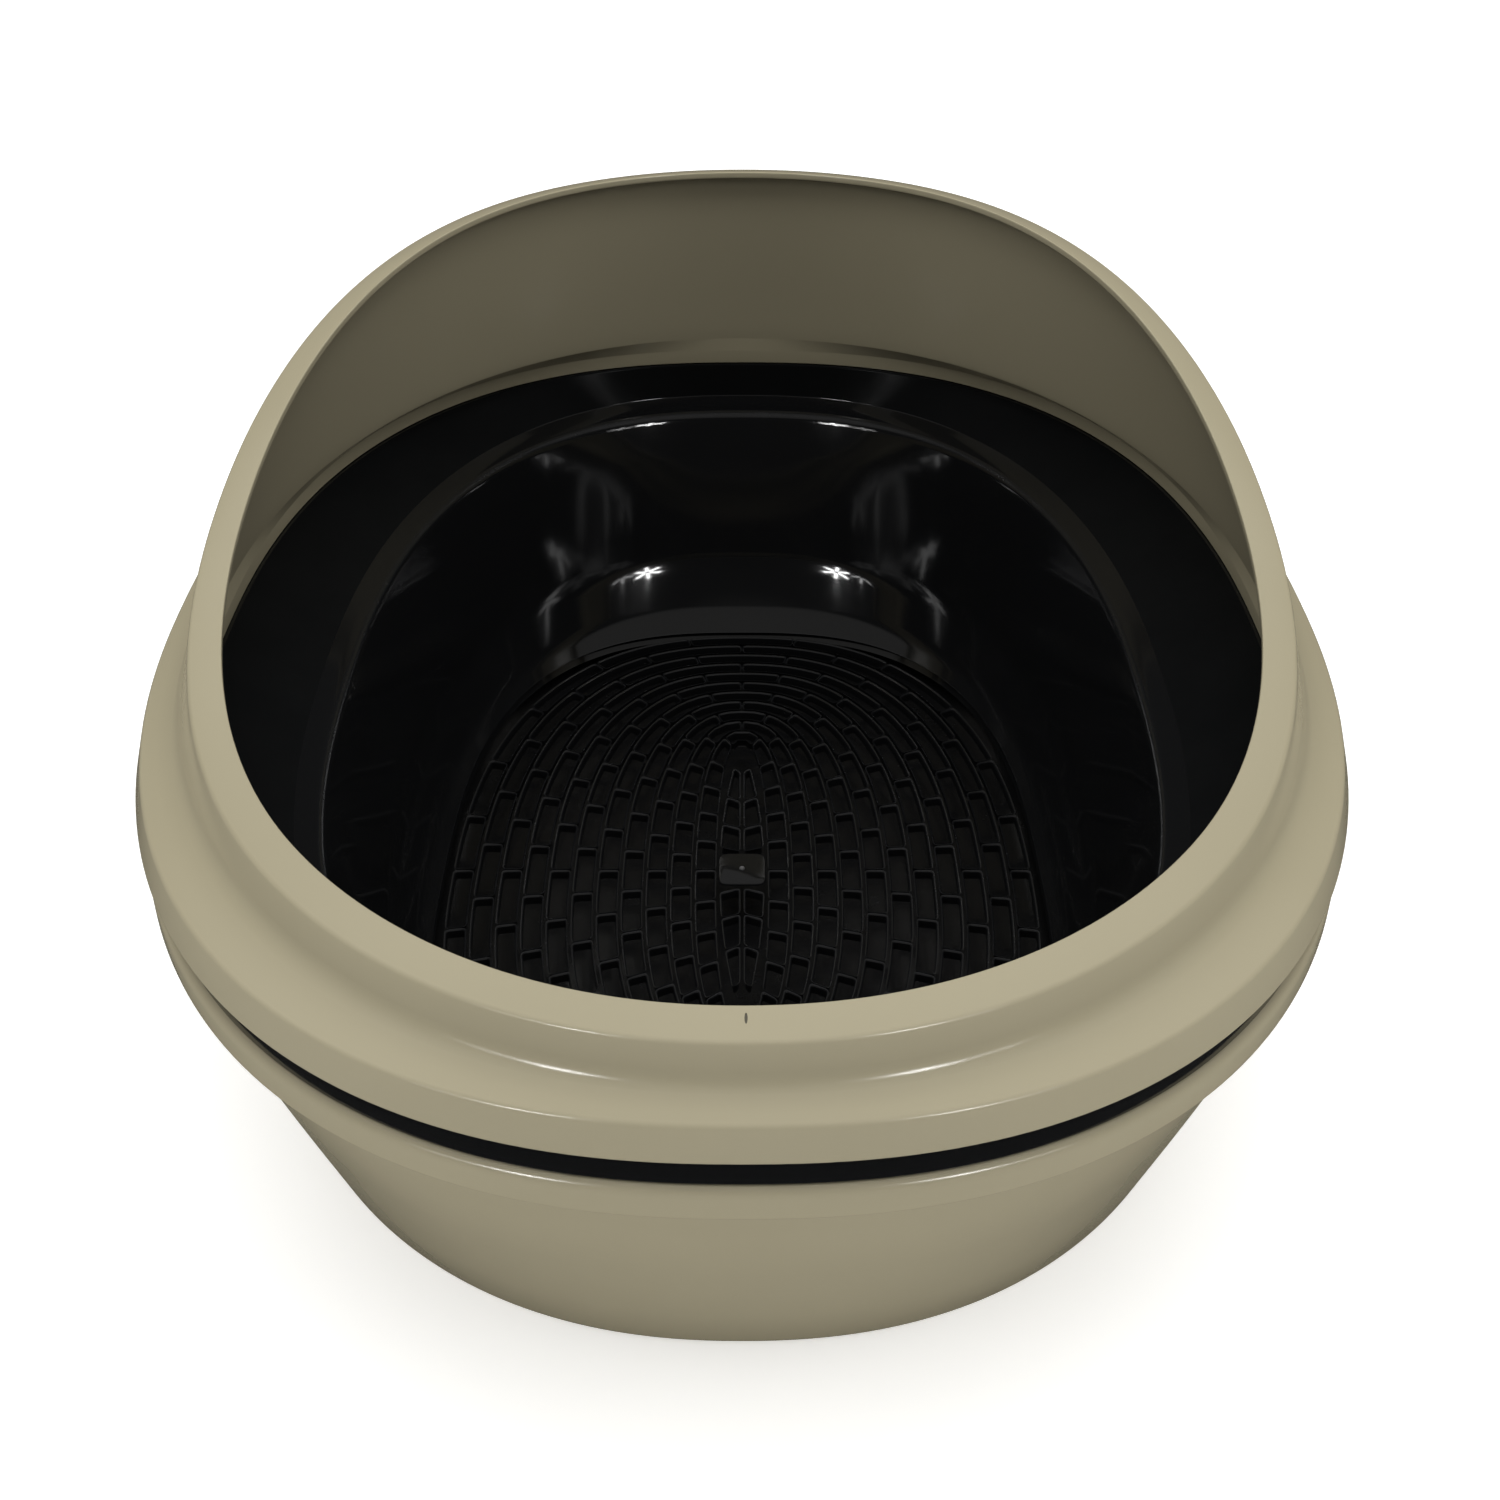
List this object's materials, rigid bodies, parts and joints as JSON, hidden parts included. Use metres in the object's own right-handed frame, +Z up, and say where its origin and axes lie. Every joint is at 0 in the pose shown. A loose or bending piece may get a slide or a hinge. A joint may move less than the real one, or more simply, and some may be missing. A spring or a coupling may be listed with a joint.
{
  "type": "cat litter box with hood",
  "caption": "Oval cat litter box: a tapered base tray, a black liner tray, a slotted black sieve tray and an open hood, low in front and high behind, all nested.",
  "frame": {"origin": "middle of the base tray's underside, on the surface that the litter box stands on", "axes": "+Z up, +Y from the hood's low front to its high back, +X to the right seen from the front"},
  "size_m": [0.4076, 0.4956, 0.2326],
  "materials": {
    "greige_plastic": "satin",
    "black_plastic": "glossy"
  },
  "bodies": {
    "base": {"base_tray": "greige_plastic"},
    "liner": {"liner_tray": "black_plastic"},
    "sieve": {"sieve_tray": "black_plastic", "sieve_floor": "black_plastic"},
    "hood": {"hood": "greige_plastic"}
  },
  "joints": [
    {"name": "liner_lift", "type": "slide", "parent": "base", "child": "liner", "axis": [0, 0, 1], "range_m": [0, 0.14]},
    {"name": "sieve_lift", "type": "slide", "parent": "liner", "child": "sieve", "axis": [0, 0, 1], "range_m": [0, 0.13]},
    {"name": "hood_lift", "type": "slide", "parent": "sieve", "child": "hood", "axis": [0, 0, 1], "range_m": [0, 0.1]}
  ]
}
